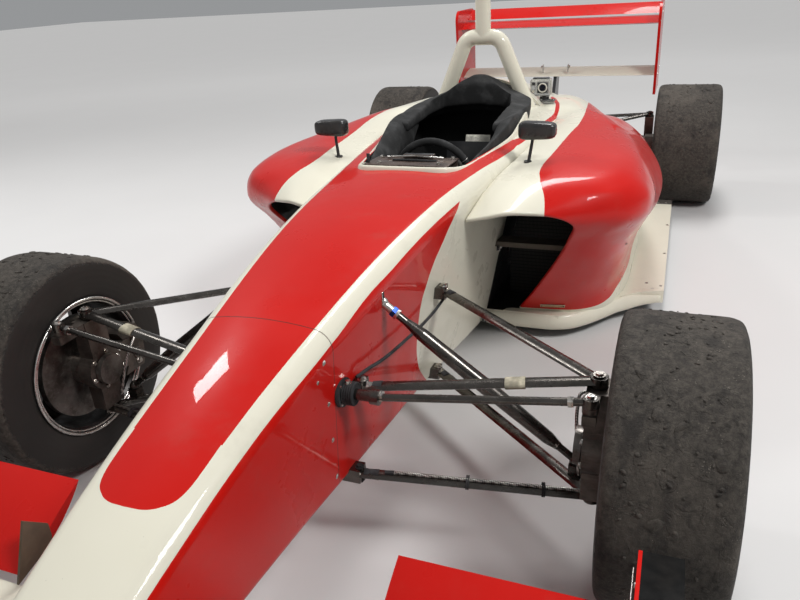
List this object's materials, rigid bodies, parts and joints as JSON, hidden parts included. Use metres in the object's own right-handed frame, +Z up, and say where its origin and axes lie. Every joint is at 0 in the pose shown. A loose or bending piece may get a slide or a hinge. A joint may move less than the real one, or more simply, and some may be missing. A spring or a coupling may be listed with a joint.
{
  "type": "open wheel racing car",
  "caption": "Open wheel single-seat racing car with open cockpit, sidepods, front and rear wings, wishbone suspension, steering linkage and freely turning slick wheels.",
  "frame": {"origin": "on the ground below the middle of the whole car", "axes": "+Z up, the nose points to -Y, +X is the car's left"},
  "size_m": [1.754, 4.35, 1.09],
  "materials": {
    "body_red_white": "gloss",
    "red_paint": "gloss",
    "white_paint": "gloss",
    "dark_composite": "satin",
    "dark_plastic": "matte",
    "black_foam": "matte",
    "alloy": "satin",
    "cast_alloy": "cast",
    "steel": "machined",
    "dark_steel": "satin",
    "red_lens": "gloss",
    "tyre": "worn slick",
    "dark_rim": "satin"
  },
  "bodies": {
    "chassis": {"tub": "body_red_white", "nose_cone": "body_red_white", "cockpit_rim": "white_paint", "headrest": "black_foam", "engine_cover": "white_paint", "floor": "white_paint", "diffuser": "dark_composite", "sidepod_left": "body_red_white", "sidepod_right": "body_red_white", "radiators": "alloy", "roll_hoop": "white_paint", "mirrors": "dark_plastic", "seat": "dark_composite", "onboard_camera": "dark_plastic", "dash_bulkhead": "dark_composite", "engine_block": "cast_alloy", "gearbox": "cast_alloy", "exhaust": "steel", "crash_box": "dark_composite", "rain_light": "red_lens", "rear_wing_post": "dark_composite", "rear_wing_upper": "red_paint", "rear_wing_lower": "white_paint", "rear_wing_endplates": "red_paint", "rear_upper_wishbones": "dark_steel", "rear_lower_wishbones": "dark_steel", "rear_pushrods": "dark_steel", "rear_uprights": "alloy", "front_wing_main": "white_paint", "front_wing_flaps": "red_paint", "front_wing_endplates": "dark_composite", "front_upper_wishbones": "dark_steel", "front_lower_wishbones": "dark_steel", "front_pushrods": "dark_steel", "rack_housing": "dark_plastic"},
    "knuckle_left": {"front_upright_left": "alloy"},
    "knuckle_right": {"front_upright_right": "alloy"},
    "rack": {"track_rods": "dark_steel"},
    "steering_wheel": {"steering_wheel": "dark_plastic"},
    "wheel_front_left": {"front_tyre_left": "tyre", "front_rim_left": "dark_rim", "front_hub_left": "steel"},
    "wheel_front_right": {"front_tyre_right": "tyre", "front_rim_right": "dark_rim", "front_hub_right": "steel"},
    "wheel_rear_left": {"rear_tyre_left": "tyre", "rear_rim_left": "dark_rim", "rear_hub_left": "steel"},
    "wheel_rear_right": {"rear_tyre_right": "tyre", "rear_rim_right": "dark_rim", "rear_hub_right": "steel"}
  },
  "joints": [
    {"name": "steer_left", "type": "hinge", "parent": "chassis", "child": "knuckle_left", "pos_m": [0.6, -1.225, 0.275], "axis": [0, 0, 1], "range_deg": [-18, 18]},
    {"name": "steer_right", "type": "hinge", "parent": "chassis", "child": "knuckle_right", "pos_m": [-0.6, -1.225, 0.275], "axis": [0, 0, 1], "range_deg": [-18, 18]},
    {"name": "rack_slide", "type": "slide", "parent": "chassis", "child": "rack", "axis": [1, 0, 0], "range_m": [-0.028, 0.028]},
    {"name": "steering_wheel_turn", "type": "hinge", "parent": "chassis", "child": "steering_wheel", "pos_m": [0, -0.345, 0.545], "axis": [0, 0.9895, 0.1449], "range_deg": [-180, 180]},
    {"name": "spin_front_left", "type": "hinge", "parent": "knuckle_left", "child": "wheel_front_left", "pos_m": [0.732, -1.225, 0.275], "axis": [1, 0, 0], "continuous": true},
    {"name": "spin_front_right", "type": "hinge", "parent": "knuckle_right", "child": "wheel_front_right", "pos_m": [-0.732, -1.225, 0.275], "axis": [1, 0, 0], "continuous": true},
    {"name": "spin_rear_left", "type": "hinge", "parent": "chassis", "child": "wheel_rear_left", "pos_m": [0.732, 1.395, 0.285], "axis": [1, 0, 0], "continuous": true},
    {"name": "spin_rear_right", "type": "hinge", "parent": "chassis", "child": "wheel_rear_right", "pos_m": [-0.732, 1.395, 0.285], "axis": [1, 0, 0], "continuous": true}
  ],
  "couplings": [
    {"joint": "steer_right", "follows": "steer_left", "ratio": 1},
    {"joint": "rack_slide", "follows": "steer_left", "m_per_rad": 0.0885},
    {"joint": "steering_wheel_turn", "follows": "steer_left", "ratio": 10}
  ]
}
